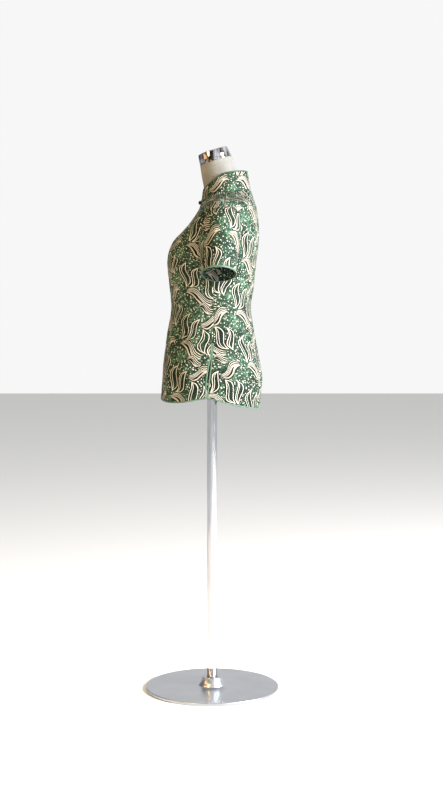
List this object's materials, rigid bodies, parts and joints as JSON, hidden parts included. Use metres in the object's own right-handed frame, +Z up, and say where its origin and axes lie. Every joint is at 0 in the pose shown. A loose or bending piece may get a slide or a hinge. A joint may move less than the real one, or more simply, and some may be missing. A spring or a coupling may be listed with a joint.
{
  "type": "qipao top on dress form",
  "caption": "Short-sleeved qipao top with a stand collar, a diagonal opening with frogs and side slits, worn on a limbless dress form with a neck cap, a pole and a round base.",
  "frame": {"origin": "middle of the base's underside, on the floor", "axes": "+Z up along the pole, +X towards the wearer's left, -Y towards the front of the garment"},
  "size_m": [0.5328, 0.37, 1.4988],
  "materials": {
    "printed_cloth": "soft sheen, leafy print",
    "binding": "satin",
    "frog": "satin cord",
    "form_cover": "plain linen",
    "cap": "polished",
    "pole": "polished",
    "base": "brushed"
  },
  "bodies": {
    "root": {"front_panel": "printed_cloth", "right_chest_panel": "printed_cloth", "back_panel": "printed_cloth", "sleeve_left": "printed_cloth", "sleeve_right": "printed_cloth", "collar": "printed_cloth", "front_hem_binding": "binding", "back_hem_binding": "binding", "cuff_binding_left": "binding", "cuff_binding_right": "binding", "collar_binding": "binding", "opening_binding": "binding", "frog_throat_knot_half": "frog", "frog_throat_loop_half": "frog", "frog_chest_knot_half": "frog", "frog_chest_loop_half": "frog", "form_torso": "form_cover", "neck_cap": "cap", "stand_pole": "pole", "stand_base": "base"}
  },
  "joints": []
}
